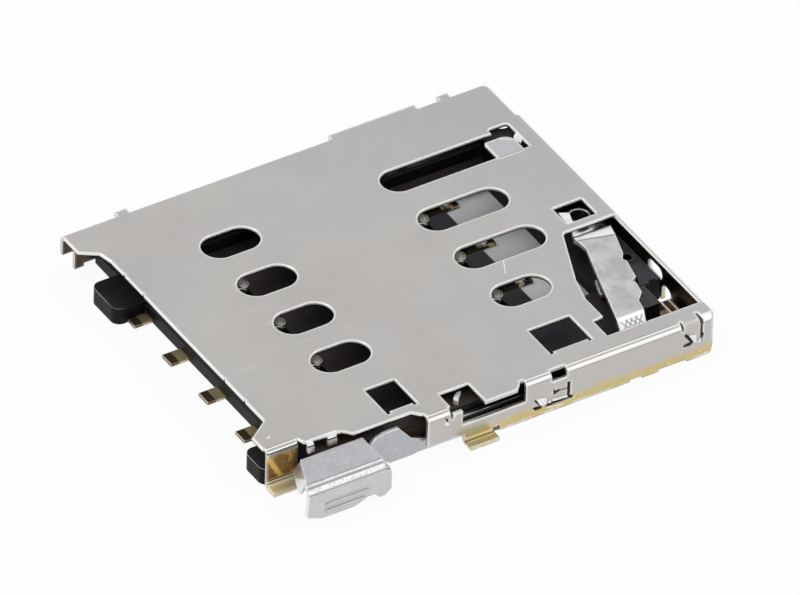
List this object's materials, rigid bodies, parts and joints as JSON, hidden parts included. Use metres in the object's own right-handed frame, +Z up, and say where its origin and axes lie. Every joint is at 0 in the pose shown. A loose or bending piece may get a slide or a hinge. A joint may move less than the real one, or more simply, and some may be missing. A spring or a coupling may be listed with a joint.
{
  "type": "sim card socket",
  "caption": "Low surface-mount card socket with a folded metal cover, sprung contacts and a push-rod tray ejector.",
  "frame": {"origin": "centre of the cover's footprint, on the board plane under the housing", "axes": "+X the way the tray slides in, +Z up from the board, so -Y is the side with the push rod"},
  "size_m": [0.0182, 0.0171, 0.0017],
  "materials": {
    "nickel_plated_sheet": "satin nickel plate",
    "bright_sheet": "bright rolled steel",
    "black_moulding": "matt moulded plastic",
    "plated_contact": "thin gold plate",
    "copper_blade": "bare copper alloy"
  },
  "bodies": {
    "socket": {"cover_shell": "nickel_plated_sheet", "base_housing": "black_moulding", "mouth_contact_1": "plated_contact", "mouth_contact_2": "plated_contact", "mouth_contact_3": "plated_contact", "inner_contact_1": "plated_contact", "inner_contact_2": "plated_contact", "inner_contact_3": "plated_contact", "ground_terminal": "plated_contact", "detect_spring": "copper_blade", "detect_terminal": "copper_blade"},
    "rod": {"push_rod": "bright_sheet"},
    "lever": {"eject_lever": "bright_sheet"}
  },
  "joints": [
    {"name": "rod_slide", "type": "slide", "parent": "socket", "child": "rod", "axis": [1, 0, 0], "range_m": [0, 0.0019]},
    {"name": "lever_swing", "type": "hinge", "parent": "socket", "child": "lever", "pos_m": [0.00721, -0.00377, 0.001], "axis": [0, 0, 1], "range_deg": [0, 33.5]}
  ],
  "couplings": [
    {"joint": "lever_swing", "follows": "rod_slide", "rad_per_m": 307.73}
  ]
}
